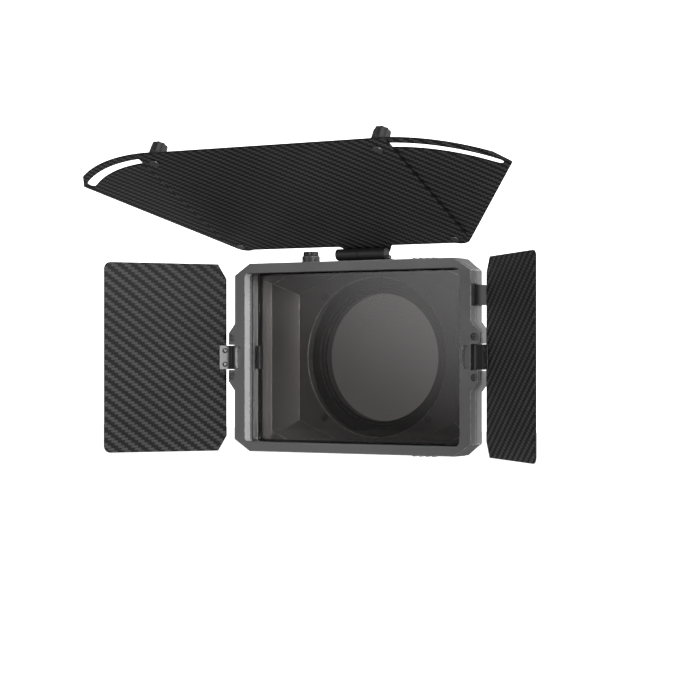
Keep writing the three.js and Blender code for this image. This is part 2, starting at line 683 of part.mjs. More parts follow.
function footScrewPlaces() {
  return [HINGE_X - FOOT_SCREW_X, HINGE_X + FOOT_SCREW_X];
}

// A length of barrel on a pedestal that stands on the foot
function hingeSection(x0, x1) {
  const front = HINGE_Y + FOOT_START;
  const back = HINGE_Y + BARREL_RADIUS - PEDESTAL_LAP;
  return join([
    rodX(BARREL_RADIUS, x0, x1, HINGE_Y, HINGE_Z, 20),
    block(x0, x1, front, back, HALF_HEIGHT + BASE_LIFT, HINGE_Z - 0.5),
  ]);
}

function hingeBase() {
  const start = HINGE_X - BARREL_HALF;
  const knuckleEnd = HINGE_X + BARREL_HALF;
  const end = knuckleEnd + KNUCKLE_GAP + LOBE_LENGTH;
  const bottom = HALF_HEIGHT + BASE_LIFT;
  const top = bottom + FOOT_THICKNESS;
  const tools = [
    rodX(HINGE_PIN_RADIUS + 0.04, start - PAST, end - 0.5, HINGE_Y, HINGE_Z),
    rodX(0.7, knuckleEnd, end + PAST, HINGE_Y, HALF_HEIGHT + TENSION_SCREW_RISE),
    rodX(BARREL_RADIUS + 0.25, HINGE_X - KNUCKLE_GAP, knuckleEnd + KNUCKLE_GAP, HINGE_Y, HINGE_Z, 20),
    ...footScrewPlaces().map((x) => rodZ(FOOT_SCREW_HOLE, bottom - PAST, top + PAST, x, FOOT_SCREW_Y)),
  ];
  return cut(join([
    hingeSection(start, HINGE_X - KNUCKLE_GAP),
    hingeSection(knuckleEnd + KNUCKLE_GAP, end),
    block(start, end, HINGE_Y + FOOT_START, HINGE_Y + FOOT_BACK, bottom, top),
  ]), tools);
}

add('hinge_base', hingeBase(), BLACK_METAL);
const hingePinStart = HINGE_X - BARREL_HALF + 0.2;
const hingePinEnd = HINGE_X + BARREL_HALF + LOBE_LENGTH - 0.6;
add('hinge_pin', rodX(HINGE_PIN_RADIUS, hingePinStart, hingePinEnd, HINGE_Y, HINGE_Z), STEEL);
footScrewPlaces().forEach((x, i) => {
  const z = HALF_HEIGHT + FOOT_THICKNESS + 0.05;
  const geometry = screw(2, 0.9, 1.15, FOOT_THICKNESS + 3.4);
  add(`hinge_base_screw_${i + 1}`, geometry.translate(x, FOOT_SCREW_Y, z), STEEL);
});
const tensionX = HINGE_X + BARREL_HALF + LOBE_LENGTH + 0.2;
add('hinge_tension_screw', turned([
  [0, -2.4], [0.6, -2.4], [0.6, 0.05], [1.25, 0.05], [1.25, 2.6], [0.9, 2.9], [0, 2.9],
]).rotateZ(-Math.PI / 2)
  .translate(tensionX, HINGE_Y, HALF_HEIGHT + TENSION_SCREW_RISE), STEEL);

// Top flag: its own frame has the hinge axis as X, -Y forwards along the panel and Z off its top

const topFlag = new THREE.Group();
topFlag.position.set(0, HINGE_Y, HINGE_Z);
topFlag.rotation.x = -radians(TOP_TILT);
hood.add(topFlag);

// Panel plane: origin on the panel's rear edge and underside, S runs forwards as -Y
const panel = new THREE.Group();
panel.position.set(FLAG_X, -PANEL_REACH, PANEL_RISE);
topFlag.add(panel);

function panelScrewPlaces() {
  const x = HINGE_X - FLAG_X;
  return [x - PANEL_SCREW_X, x + PANEL_SCREW_X].map((place) => [place, TAB_LENGTH - PANEL_SCREW_INSET]);
}

function topPanel() {
  const cornerX = PANEL_HALF_WIDTH - PANEL_CUT_X;
  const right = [
    [cornerX, 0], [PANEL_HALF_WIDTH - 0.5, -PANEL_CUT_S], [PANEL_HALF_WIDTH, -PANEL_CUT_S - 2],
    [PANEL_HALF_WIDTH, -PANEL_LENGTH + 1.5], [PANEL_HALF_WIDTH - 1.5, -PANEL_LENGTH],
  ];
  const left = right.map(([x, y]) => [-x, y]).reverse();
  const rightTab = [
    [TAB_HALF_TIP - 1.5, TAB_LENGTH], [TAB_HALF_TIP, TAB_LENGTH - 1.5], [TAB_HALF_ROOT, 0],
  ];
  const leftTab = rightTab.map(([x, y]) => [-x, y]).reverse();
  const tab = [...leftTab, ...rightTab].map(([x, y]) => [TAB_X - FLAG_X + x, y]);
  const hole = (radius, x, y) => rodZ(radius + CLEARANCE, -PAST, FLAG_THICKNESS + PAST, x, y);
  const holes = SIDES.flatMap(([, side]) => [
    hole(PIVOT_RADIUS, side * WING_PIVOT_X, -WING_PIVOT_S),
    hole(WING_BOLT_RADIUS, side * WING_BOLT_X, -WING_BOLT_S),
  ]);
  holes.push(...panelScrewPlaces().map(([x, y]) => hole(PANEL_SCREW_RADIUS, x, y)));
  return cut(column(polygon([...tab, ...right, ...left]), 0, FLAG_THICKNESS), holes);
}

// The moving half of the top hinge: a knuckle, and a plate under the panel's tab behind it
function hingeLeaf() {
  const axisZ = -PANEL_RISE;
  const plateTop = -CLEARANCE;
  const plateBase = plateTop - TOP_LEAF_THICKNESS;
  const plateFront = PANEL_REACH + BARREL_RADIUS - TOP_LEAF_LAP;
  const middle = HINGE_X - FLAG_X;
  const start = middle + KNUCKLE_GAP;
  const end = middle + BARREL_HALF;
  const tools = [
    rodX(HINGE_PIN_RADIUS + RUNNING, middle, end + PAST, PANEL_REACH, axisZ),
    ...panelScrewPlaces().map(([x, y]) => (
      rodZ(PANEL_SCREW_RADIUS + CLEARANCE, plateBase - PAST, plateTop + PAST, x, y)
    )),
  ];
  return cut(join([
    rodX(BARREL_RADIUS, start, end, PANEL_REACH, axisZ, 20),
    block(start, end, PANEL_REACH + 1, plateFront + 0.3, axisZ + 1, plateTop),
    block(middle - BARREL_HALF, end, plateFront, TAB_LENGTH, plateBase, plateTop),
  ]), tools);
}

add('top_flag', topPanel(), CARBON, panel);
add('hinge_leaf', hingeLeaf(), BLACK_METAL, panel);
panelScrewPlaces().forEach(([x, y], i) => {
  const top = FLAG_THICKNESS + CLEARANCE;
  const length = top + CLEARANCE + TOP_LEAF_THICKNESS - 0.1;
  const geometry = screw(PANEL_SCREW_HEAD, 0.8, PANEL_SCREW_RADIUS, length);
  add(`panel_screw_${i + 1}`, geometry.translate(x, y, top), STEEL, panel);
});

// Wings, drawn folded in line with the panel about their own pivots and then spread

function wingSlot() {
  const inner = WING_SLOT_RADIUS - WING_SLOT_WIDTH / 2;
  const outer = WING_SLOT_RADIUS + WING_SLOT_WIDTH / 2;
  const from = radians(WING_SLOT_INNER - 90);
  const to = radians(WING_SLOT_OUTER - 90);
  const end = (angle) => [WING_SLOT_RADIUS * Math.cos(angle), WING_SLOT_RADIUS * Math.sin(angle)];
  const slot = new THREE.Shape();
  slot.absarc(0, 0, outer, from, to, false);
  slot.absarc(...end(to), WING_SLOT_WIDTH / 2, to, to + Math.PI, false);
  slot.absarc(0, 0, inner, to, from, true);
  slot.absarc(...end(from), WING_SLOT_WIDTH / 2, from + Math.PI, from + Math.PI * 2, false);
  return slot;
}

function wing() {
  const at = (angle, radius) => [radius * Math.sin(radians(angle)), -radius * Math.cos(radians(angle))];
  const tipX = WING_EDGE - WING_TIP_CUT_X;
  const tipY = -Math.sqrt(WING_RADIUS ** 2 - tipX ** 2);
  const roundEnd = WING_INNER_ANGLE + THREE.MathUtils.radToDeg(WING_TIP_ROUND / WING_RADIUS);
  const outline = new THREE.Shape();
  outline.moveTo(WING_EDGE, 0);
  outline.absarc(0, 0, WING_EDGE, 0, radians(WING_INNER_ANGLE + 180), false);
  outline.lineTo(...at(WING_INNER_ANGLE, WING_RADIUS - WING_TIP_ROUND));
  outline.quadraticCurveTo(...at(WING_INNER_ANGLE, WING_RADIUS), ...at(roundEnd, WING_RADIUS));
  outline.absarc(0, 0, WING_RADIUS, radians(roundEnd - 90), Math.atan2(tipY, tipX), false);
  outline.lineTo(WING_EDGE, tipY + WING_TIP_CUT_S);
  const plate = column(outline, WING_BASE, WING_TOP, 8);
  return cut(plate, [
    column(wingSlot(), WING_BASE - PAST, WING_TOP + PAST, 8),
    rodZ(PIVOT_RADIUS + CLEARANCE, WING_BASE - PAST, WING_TOP + PAST, 0, 0),
  ]);
}

function wingKnob(base) {
  const skirt = base + 1.6;
  const top = base + KNOB_HEIGHT;
  const dome = turned([
    [0, top - PAST], [KNOB_RADIUS - 0.8, top - PAST], [KNOB_RADIUS - 0.8, top - 0.9],
    [KNOB_RADIUS - 1.6, top], [0, top],
  ]).rotateX(Math.PI / 2);
  return cut(join([
    rodZ(KNOB_RADIUS - 1, base, skirt + 0.5, 0, 0),
    column(fluted(KNOB_RADIUS, FLUTES, FLUTE_DEPTH), skirt, top - 0.9),
    dome,
  ]), [rodZ(WING_BOLT_RADIUS + CLEARANCE, base - PAST, base + 5.6, 0, 0)]);
}

const washerBase = WING_TOP + CLEARANCE;
const knobBase = washerBase + WASHER_THICKNESS + CLEARANCE;
const rivetTop = washerBase + 1.1;
const pivotRivet = turned([
  [0, -0.75], [2.4, -0.75], [2.4, -CLEARANCE], [PIVOT_RADIUS, -CLEARANCE], [PIVOT_RADIUS, washerBase],
  [PIVOT_HEAD, washerBase], [PIVOT_HEAD, washerBase + 0.5], [PIVOT_HEAD - 1, rivetTop], [0, rivetTop],
]).rotateX(Math.PI / 2);
const wingBolt = turned([
  [0, -0.95], [WING_BOLT_HEAD, -0.95], [WING_BOLT_HEAD, -CLEARANCE], [WING_BOLT_RADIUS, -CLEARANCE],
  [WING_BOLT_RADIUS, knobBase + 5], [0, knobBase + 5],
]).rotateX(Math.PI / 2);
const washer = cut(
  rodZ(WASHER_RADIUS, washerBase, washerBase + WASHER_THICKNESS, 0, 0),
  [rodZ(WING_BOLT_RADIUS + CLEARANCE, 0, knobBase, 0, 0)],
);

for (const [name, side] of SIDES) {
  const pivot = [side * WING_PIVOT_X, -WING_PIVOT_S, 0];
  const bolt = [side * WING_BOLT_X, -WING_BOLT_S, 0];
  const spread = new THREE.Group();
  spread.position.set(...pivot);
  spread.rotation.z = side * radians(WING_SPREAD);
  panel.add(spread);
  add(`wing_${name}`, side > 0 ? wing() : mirrored(wing()), CARBON, spread);
  add(`wing_pivot_${name}`, pivotRivet, STEEL, panel).position.set(...pivot);
  add(`wing_bolt_${name}`, wingBolt, STEEL, panel).position.set(...bolt);
  add(`wing_washer_${name}`, washer, RUBBER, panel).position.set(...bolt);
  add(`wing_knob_${name}`, wingKnob(knobBase), BLACK_METAL, panel).position.set(...bolt);
}

// Side flags: in each flag's own frame the pin is the origin, +X runs out along the flag

function sideFlag() {
  const end = SIDE_PIN_X - SIDE_FLAG_GAP;
  const outline = new THREE.Shape();
  const roundX = end - SIDE_FLAG_RADIUS;
  const roundZ = SIDE_FLAG_HALF - SIDE_FLAG_RADIUS;
  outline.moveTo(SIDE_FLAG_START, SIDE_FLAG_CUT_Z - SIDE_FLAG_HALF);
  outline.lineTo(SIDE_FLAG_START + SIDE_FLAG_CUT_U, -SIDE_FLAG_HALF);
  outline.absarc(roundX, -roundZ, SIDE_FLAG_RADIUS, -Math.PI / 2, 0, false);
  outline.absarc(roundX, roundZ, SIDE_FLAG_RADIUS, 0, Math.PI / 2, false);
  outline.lineTo(SIDE_FLAG_START + SIDE_FLAG_CUT_U, SIDE_FLAG_HALF);
  outline.lineTo(SIDE_FLAG_START, SIDE_FLAG_HALF - SIDE_FLAG_CUT_Z);
  const back = SIDE_FLAG_OFFSET + FLAG_THICKNESS;
  const front = SIDE_FLAG_OFFSET - PAST;
  const holes = [-1, 1].map((row) => (
    rodY(LEAF_SCREW_RADIUS + CLEARANCE, front, back + PAST, LEAF_SCREW_U, row * LEAF_SCREW_Z)
  ));
  return cut(slab(outline, SIDE_FLAG_OFFSET, back), holes);
}

function sideLeaf() {
  const face = SIDE_FLAG_OFFSET - CLEARANCE;
  const inner = face - LEAF_SHEET;
  const web = KNUCKLE_RADIUS - 0.15;
  const outline = polygon([
    [-web, 0], [web, 0], [web, inner], [LEAF_LENGTH, inner], [LEAF_LENGTH, face], [-web, face],
  ]);
  const tools = [rodZ(SIDE_PIN_RADIUS + RUNNING, -LEAF_HALF - PAST, LEAF_HALF + PAST, 0, 0)];
  const hole = LEAF_SCREW_RADIUS + CLEARANCE;
  for (const row of [-1, 1]) {
    tools.push(rodY(hole, inner - PAST, face + PAST, LEAF_SCREW_U, row * LEAF_SCREW_Z));
  }
  const knuckle = rodZ(KNUCKLE_RADIUS, -LEAF_HALF, LEAF_HALF, 0, 0);
  return cut(join([column(outline, -LEAF_HALF, LEAF_HALF), knuckle]), tools);
}

function leafScrew(row) {
  const inner = SIDE_FLAG_OFFSET - CLEARANCE - LEAF_SHEET;
  const length = SIDE_FLAG_OFFSET + FLAG_THICKNESS - inner;
  return screw(LEAF_SCREW_HEAD, 0.9, LEAF_SCREW_RADIUS, length)
    .rotateX(Math.PI / 2).translate(LEAF_SCREW_U, inner - CLEARANCE, row * LEAF_SCREW_Z);
}

for (const [name, side] of SIDES) {
  const rest = side > 0 ? SIDE_REST_RIGHT : SIDE_REST_LEFT;
  const hand = (geometry) => (side > 0 ? geometry : mirrored(geometry));
  const flag = new THREE.Group();
  flag.position.set(side * SIDE_PIN_X, SIDE_PIN_Y, 0);
  flag.rotation.z = side * radians(rest - 90);
  hood.add(flag);
  add(`side_flag_${name}`, hand(sideFlag()), CARBON, flag);
  add(`side_leaf_${name}`, hand(sideLeaf()), BLACK_METAL, flag);
  [-1, 1].forEach((row, i) => add(`leaf_screw_${name}_${i + 1}`, hand(leafScrew(row)), STEEL, flag));
}

export default part;
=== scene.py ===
"""Materials, fine shapes and studio for the clip-on matte box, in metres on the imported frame."""

import json
import math

import bmesh
import bpy
from mathutils import Matrix, Vector

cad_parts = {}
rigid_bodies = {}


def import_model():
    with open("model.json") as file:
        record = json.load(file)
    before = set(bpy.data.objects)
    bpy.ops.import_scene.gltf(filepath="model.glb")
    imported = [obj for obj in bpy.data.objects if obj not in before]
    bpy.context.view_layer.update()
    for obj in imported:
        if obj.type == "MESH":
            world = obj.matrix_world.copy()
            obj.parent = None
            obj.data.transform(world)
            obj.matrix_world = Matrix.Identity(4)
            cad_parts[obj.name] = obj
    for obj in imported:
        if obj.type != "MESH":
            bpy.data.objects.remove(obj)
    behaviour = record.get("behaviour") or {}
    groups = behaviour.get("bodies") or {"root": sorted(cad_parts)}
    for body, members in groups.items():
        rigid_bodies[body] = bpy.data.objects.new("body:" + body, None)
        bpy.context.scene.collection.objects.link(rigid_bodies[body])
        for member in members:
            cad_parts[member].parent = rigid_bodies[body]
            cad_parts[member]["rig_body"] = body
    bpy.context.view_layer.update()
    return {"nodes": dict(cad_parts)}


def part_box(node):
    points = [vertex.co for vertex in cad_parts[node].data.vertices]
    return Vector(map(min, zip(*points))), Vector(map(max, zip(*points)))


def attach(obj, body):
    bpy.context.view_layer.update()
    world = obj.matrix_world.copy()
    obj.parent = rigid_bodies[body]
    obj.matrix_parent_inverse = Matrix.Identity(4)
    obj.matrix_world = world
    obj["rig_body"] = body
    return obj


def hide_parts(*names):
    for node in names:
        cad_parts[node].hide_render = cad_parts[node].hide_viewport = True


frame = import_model()
nodes = frame["nodes"]

MM = 0.001
SIDES = (("left", -1), ("right", 1))

# Sizes that the finished pieces share with the CAD
FRONT_Y = -48.0 * MM
HALF_WIDTH = 80.0 * MM
OPENING_HALF_HEIGHT = 50.5 * MM
TOP_HINGE = Vector((0.0, -42.8, 60.0)) * MM
TOP_TILT = math.radians(-26.34)
PANEL_ORIGIN = Vector((-2.4, -2.67, 3.56)) * MM
SIDE_PIN = Vector((81.5, -44.6, 0.0)) * MM
SIDE_REST = {"left": math.radians(33.84), "right": math.radians(46.15)}
WALL_INSET = 0.6 * MM
WALL_DEPTH = 6.0 * MM

# Where the knobs and screws stand, each in the frame of the piece that carries it
WING_KNOB_X, WING_KNOB_S, WING_KNOB_Z = 72.7 * MM, 101.9 * MM, 3.87 * MM
LOCK_KNOB_BASE = Vector((-35.0, -33.1, 60.4)) * MM
CLAMP_KNOB_BASE = Vector((-61.0, -5.0, 8.4)) * MM
LEAF_SCREW_SPOTS = [Vector((x, 6.9, 1.45)) * MM for x in (-1.65, 15.35)]
SIDE_SCREW_U, SIDE_SCREW_Y, SIDE_SCREW_Z = 5.4 * MM, 3.5 * MM, 4.1 * MM

# Studio: the bright side of the sweep, the card in front, the lamps and the camera
SWEEP_TOWARDS = Vector((0.66, 0.5, 0.56)).normalized()
SWEEP_DIM, SWEEP_BRIGHT = 0.17, 0.75
CARD_TOWARDS = Vector((-0.40, -0.90, 0.15)).normalized()
CARD_EDGE, CARD_MIDDLE, CARD_POWER = 0.978, 0.994, 2.2
BACKDROP_POWER = 2.0
GLASS_DIMMING = 0.7
FLOOR_REACH, FLOOR_LEVEL = 4.0, -0.2
KEY_PLACE = ((1.6, -0.62, 0.3), (0.0, -0.05, 0.0), 0.5, 0.5)
KEY_ON_METAL, KEY_ON_CARBON = 22.0, 5.0
STRIP_PLACE = ((1.1, 0.8, 0.2), (0.0, 0.0, 0.0), 0.3, 0.9)
STRIP_POWER = 0.8
CAMERA_PLACE = (0.6036, -1.0520, -0.0026)
CAMERA_HEADING = math.radians(30.97)
CAMERA_LENS, CAMERA_SHIFT = 103.66, 0.0167


# ---------------------------------------------------------------- node trees

class Graph:
    """Adds nodes to a tree; an input is given a value or another node's output."""

    def __init__(self, tree):
        self.tree = tree

    def add(self, kind, inputs=None, **settings):
        node = self.tree.nodes.new(kind)
        for name, value in settings.items():
            setattr(node, name, value)
        for key, value in (inputs or {}).items():
            if isinstance(value, bpy.types.NodeSocket):
                self.tree.links.new(value, node.inputs[key])
            else:
                node.inputs[key].default_value = value
        return node

    def math(self, operation, first, second=0.0, third=0.0, clamp=False):
        values = {0: first, 1: second, 2: third}
        kind = "ShaderNodeMath"
        return self.add(kind, values, operation=operation, use_clamp=clamp).outputs[0]

    def remap(self, value, low, high, new_low, new_high, smooth=False):
        inputs = {0: value, 1: low, 2: high, 3: new_low, 4: new_high}
        kind = "SMOOTHSTEP" if smooth else "LINEAR"
        return self.add("ShaderNodeMapRange", inputs, interpolation_type=kind).outputs[0]

    def blend(self, factor, first, second):
        inputs = {0: factor, 6: first, 7: second}
        return self.add("ShaderNodeMix", inputs, data_type="RGBA").outputs[2]

    def split(self, vector):
        return self.add("ShaderNodeSeparateXYZ", {0: vector}).outputs

    def noise(self, vector, scale, detail=2.0):
        inputs = {"Vector": vector, "Scale": scale, "Detail": detail}
        return self.add("ShaderNodeTexNoise", inputs).outputs[0]


def new_group(name, kind, inputs, outputs):
    """A node group with named sockets; returns the group, its graph, its inputs and its end."""
    tree = bpy.data.node_groups.new(name, kind)
    for socket, socket_kind, default in inputs:
        made = tree.interface.new_socket(socket, in_out="INPUT", socket_type=socket_kind)
        if default is not None:
            made.default_value = default
    for socket, socket_kind in outputs:
        tree.interface.new_socket(socket, in_out="OUTPUT", socket_type=socket_kind)
    graph = Graph(tree)
    start = graph.add("NodeGroupInput").outputs
    end = graph.add("NodeGroupOutput").inputs
    return tree, graph, start, end


NUMBER, VECTOR = "NodeSocketFloat", "NodeSocketVector"
GEOMETRY, MATERIAL = "NodeSocketGeometry", "NodeSocketMaterial"


def grain_group():
    """Fine blasted grain over broad, faint clouding."""
    inputs = [("Coordinate", VECTOR, None), ("Scale", NUMBER, 2500.0), ("Contrast", NUMBER, 0.2)]
    outputs = [("Shade", NUMBER), ("Height", NUMBER), ("Rough", NUMBER)]
    tree, g, start, end = new_group("Fine grain", "ShaderNodeTree", inputs, outputs)
    fine = g.noise(start["Coordinate"], start["Scale"], 3.0)
    broad = g.noise(start["Coordinate"], g.math("DIVIDE", start["Scale"], 60.0), 3.0)
    fine_part = g.math("SUBTRACT", fine, 0.5)
    broad_part = g.math("MULTIPLY", g.math("SUBTRACT", broad, 0.5), 0.7)
    both = g.math("ADD", fine_part, broad_part)
    shade = g.math("MULTIPLY_ADD", both, start["Contrast"], 1.0)
    g.tree.links.new(shade, end["Shade"])
    g.tree.links.new(fine, end["Height"])
    g.tree.links.new(g.remap(broad, 0.3, 0.7, -0.06, 0.06), end["Rough"])
    return tree


def wear_group():
    """Rubbed edges: the bevel mask broken up by noise."""
    inputs = [("Edge", NUMBER, 0.0), ("Coordinate", VECTOR, None), ("Amount", NUMBER, 0.6)]
    tree, g, start, end = new_group("Edge wear", "ShaderNodeTree", inputs, [("Wear", NUMBER)])
    patches = g.remap(g.noise(start["Coordinate"], 350.0, 4.0), 0.35, 0.65, 0.35, 1.0, True)
    worn = g.math("MULTIPLY", patches, start["Edge"])
    g.tree.links.new(g.math("MULTIPLY", worn, start["Amount"]), end["Wear"])
    return tree


def twill_group():
    """Two-over-two twill: which tow is on top, how it bulges, and its fine fibres."""
    inputs = [
        ("Coordinate", VECTOR, None), ("Across", NUMBER, 2.0 * MM), ("Up", NUMBER, 1.5 * MM),
        ("Step", NUMBER, 1.0),
    ]
    outputs = [("Over", NUMBER), ("Bulge", NUMBER), ("Fibre", NUMBER)]
    tree, g, start, end = new_group("Twill weave", "ShaderNodeTree", inputs, outputs)
    x, y, _ = g.split(start["Coordinate"])
    across, up = g.math("DIVIDE", x, start["Across"]), g.math("DIVIDE", y, start["Up"])
    column, row = g.math("FLOOR", across), g.math("FLOOR", up)
    across_part, up_part = g.math("SUBTRACT", across, column), g.math("SUBTRACT", up, row)
    place = g.math("FLOORED_MODULO", g.math("MULTIPLY_ADD", row, start["Step"], column), 4.0)
    over = g.math("LESS_THAN", place, 1.5)

    def crown(value):
        centred = g.math("MULTIPLY_ADD", value, 2.0, -1.0)
        return g.math("SUBTRACT", 1.0, g.math("MULTIPLY", centred, centred))

    along = g.math("MULTIPLY", g.math("ADD", place, across_part), 0.5)
    on_top = g.math("MULTIPLY", crown(up_part), g.remap(crown(along), 0.0, 1.0, 0.45, 1.0))
    below = g.math("MULTIPLY", crown(across_part), 0.55)
    lifted = g.math("MULTIPLY", over, on_top)
    sunk = g.math("MULTIPLY", g.math("SUBTRACT", 1.0, over), below)
    g.tree.links.new(over, end["Over"])
    g.tree.links.new(g.math("ADD", lifted, sunk), end["Bulge"])
    stretched = g.add(
        "ShaderNodeVectorMath", {0: start["Coordinate"], 1: (400.0, 6000.0, 1.0)}, operation="MULTIPLY"
    ).outputs[0]
    g.tree.links.new(g.noise(stretched, 1.0, 2.0), end["Fibre"])
    return tree


GRAIN = grain_group()
WEAR = wear_group()
TWILL = twill_group()


def group_node(graph, tree, inputs):
    kind = "ShaderNodeGroup" if tree.bl_idname == "ShaderNodeTree" else "GeometryNodeGroup"
    node = graph.tree.nodes.new(kind)
    node.node_tree = tree
    for key, value in inputs.items():
        if isinstance(value, bpy.types.NodeSocket):
            graph.tree.links.new(value, node.inputs[key])
        else:
            node.inputs[key].default_value = value
    return node.outputs


# ----------------------------------------------------------------- materials

def new_material(name, **values):
    material = bpy.data.materials.new(name)
    material.use_nodes = True
    graph = Graph(material.node_tree)
    shader = material.node_tree.nodes["Principled BSDF"]
    for socket, value in values.items():
        shader.inputs[socket.replace("_", " ")].default_value = value
    return material, graph, shader


def grey(level, tint=(1.0, 1.0, 1.0)):
    return tuple(level * part for part in tint) + (1.0,)


def attribute(graph, name):
    return graph.add("ShaderNodeAttribute", attribute_name=name).outputs["Fac"]


def surface(name, colour, roughness, scale, contrast, bump, worn=None, painted_light_wall=None, **values):
    """A solid finish with grain, with rubbed edges, and where asked with right-facing walls painted
    near-white as a painted highlight.
    """
    material, g, shader = new_material(name, **values)
    coordinate = g.add("ShaderNodeTexCoord").outputs["Object"]
    grain = group_node(g, GRAIN, {"Coordinate": coordinate, "Scale": scale, "Contrast": contrast})
    shaded = g.add(
        "ShaderNodeVectorMath", {0: colour[:3], 3: grain["Shade"]}, operation="SCALE"
    ).outputs[0]
    rough = g.math("ADD", grain["Rough"], roughness)
    # Walls facing right are blended towards a near-white colour: a painted highlight.
    if painted_light_wall:
        painted_light_mask = attribute(g, "painted_light_wall")
        shaded = g.blend(painted_light_mask, shaded, painted_light_wall)
        rough = g.math("MULTIPLY_ADD", painted_light_mask, -0.12, rough)
    if worn:
        edge_colour, amount = worn
        edge = attribute(g, "edge")
        wear = group_node(g, WEAR, {"Edge": edge, "Coordinate": coordinate, "Amount": amount})
        shaded = g.blend(wear["Wear"], shaded, edge_colour)
        rough = g.math("MULTIPLY_ADD", wear["Wear"], -0.2, rough)
    lumps = g.add("ShaderNodeBump", {"Height": grain["Height"], "Distance": bump, "Strength": 0.5})
    g.tree.links.new(shaded, shader.inputs["Base Color"])
    g.tree.links.new(rough, shader.inputs["Roughness"])
    g.tree.links.new(lumps.outputs[0], shader.inputs["Normal"])
    return material


def carbon(name, across, up, step):
    material, g, shader = new_material(name, Specular_IOR_Level=0.2, Coat_Roughness=0.2)
    shader.inputs["Coat Weight"].default_value = 0.07
    coordinate = g.add("ShaderNodeUVMap", uv_map="weave").outputs[0]
    inputs = {"Coordinate": coordinate, "Across": across, "Up": up, "Step": step}
    twill = group_node(g, TWILL, inputs)
    objects = g.add("ShaderNodeTexCoord").outputs["Object"]
    inputs = {"Coordinate": objects, "Scale": 1800.0, "Contrast": 0.5}
    grain = group_node(g, GRAIN, inputs)
    # The twill pattern is real, but the tone split is painted sheen. The tow on top is painted several
    # times lighter than the tow below, and each is brighter on its crown. This stands in for the
    # fibres' direction-dependent reflection.
    light = g.remap(twill["Bulge"], 0.0, 1.0, 0.075, 0.145)
    dark = g.remap(twill["Bulge"], 0.0, 0.55, 0.012, 0.026)
    painted_sheen_part = g.math("MULTIPLY", light, twill["Over"])
    painted_shade_part = g.math("MULTIPLY", dark, g.math("SUBTRACT", 1.0, twill["Over"]))
    fibre = g.remap(twill["Fibre"], 0.3, 0.7, 0.85, 1.15)
    level = g.math("MULTIPLY", g.math("ADD", painted_sheen_part, painted_shade_part), fibre)
    level = g.math("MULTIPLY", level, grain["Shade"])
    edge = attribute(g, "edge")
    level = g.math("MULTIPLY", level, g.math("MULTIPLY_ADD", edge, -0.25, 1.0))
    rim = attribute(g, "rim")
    plain = g.math("MULTIPLY", level, g.math("SUBTRACT", 1.0, rim))
    level = g.math("MULTIPLY_ADD", rim, 0.02, plain)
    colour = g.add("ShaderNodeCombineXYZ", {0: level, 1: level, 2: g.math("MULTIPLY", level, 1.02)})
    lumps = g.add(
        "ShaderNodeBump", {"Height": twill["Bulge"], "Distance": 0.03 * MM, "Strength": 0.6}
    )
    rough = g.remap(twill["Over"], 0.0, 1.0, 0.5, 0.42)
    g.tree.links.new(colour.outputs[0], shader.inputs["Base Color"])
    g.tree.links.new(rough, shader.inputs["Roughness"])
    g.tree.links.new(lumps.outputs[0], shader.inputs["Normal"])
    return material


def smoked_glass(name):
    material, g, shader = new_material(
        name, Roughness=0.02, IOR=1.5, Transmission_Weight=1.0, Metallic=0.0
    )
    coordinate = g.add("ShaderNodeTexCoord").outputs["Object"]
    clouds = g.remap(g.noise(coordinate, 25.0, 2.0), 0.3, 0.7, 0.0, 1.0, True)
    tint = g.blend(clouds, (0.55, 0.51, 0.505, 1.0), (0.58, 0.535, 0.53, 1.0))
    g.tree.links.new(tint, shader.inputs["Base Color"])
    dust = g.remap(g.noise(coordinate, 4000.0, 1.0), 0.72, 0.8, 0.015, 0.12)
    g.tree.links.new(dust, shader.inputs["Roughness"])
    return material


# The near-white wall colour below is a painted highlight on the right-facing front walls.
ANODISED = surface(
    "Anodised grey", grey(0.235), 0.5, 2600.0, 0.22, 0.02 * MM, worn=(grey(0.75), 0.75),
    painted_light_wall=grey(0.95), Metallic=0.6,
)
BLACK_METAL = surface(
    "Black anodised", grey(0.05), 0.42, 2600.0, 0.3, 0.02 * MM, worn=(grey(0.3), 0.55), Metallic=0.5
)
RING_BLACK = surface(
    "Ring black", grey(0.06), 0.5, 2200.0, 0.3, 0.02 * MM, worn=(grey(0.3), 0.5), Metallic=0.4
)
STEEL = surface(
    "Dark steel", grey(0.2), 0.35, 3200.0, 0.3, 0.01 * MM, worn=(grey(0.6), 0.6), Metallic=0.85
)
HINGE_GREY = surface(
    "Hinge grey", grey(0.13), 0.42, 2600.0, 0.2, 0.02 * MM, worn=(grey(0.5), 0.6), Metallic=0.65
)
FOAM = surface("Foam", grey(0.02), 0.95, 1500.0, 0.6, 0.15 * MM)
RUBBER = surface("Rubber", grey(0.03), 0.8, 1800.0, 0.4, 0.04 * MM)
SIDE_CARBON = carbon("Carbon, side flags", 2.08 * MM, 1.53 * MM, -1.0)
TOP_CARBON = carbon("Carbon, top flag", 1.53 * MM, 1.92 * MM, 1.0)
GLASS = smoked_glass("Smoked filter glass")


# ------------------------------------------------------------ finished pieces

def place(name, mesh, body, slot, material, replaced):
    """Links a mesh as a piece of a body, in place of the CAD nodes it stands for."""
    mesh.name = name
    mesh.materials.clear()
    mesh.materials.append(material)
    piece = bpy.data.objects.new(name, mesh)
    bpy.context.scene.collection.objects.link(piece)
    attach(piece, body)
    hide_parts(*replaced)
    return piece


def evaluated(piece):
    """The mesh of an object with its modifiers applied."""
    graph = bpy.context.evaluated_depsgraph_get()
    return bpy.data.meshes.new_from_object(piece.evaluated_get(graph), depsgraph=graph)


def smooth(mesh, angle=38.0):
    mesh.polygons.foreach_set("use_smooth", [True] * len(mesh.polygons))
    mesh.set_sharp_from_angle(angle=math.radians(angle))


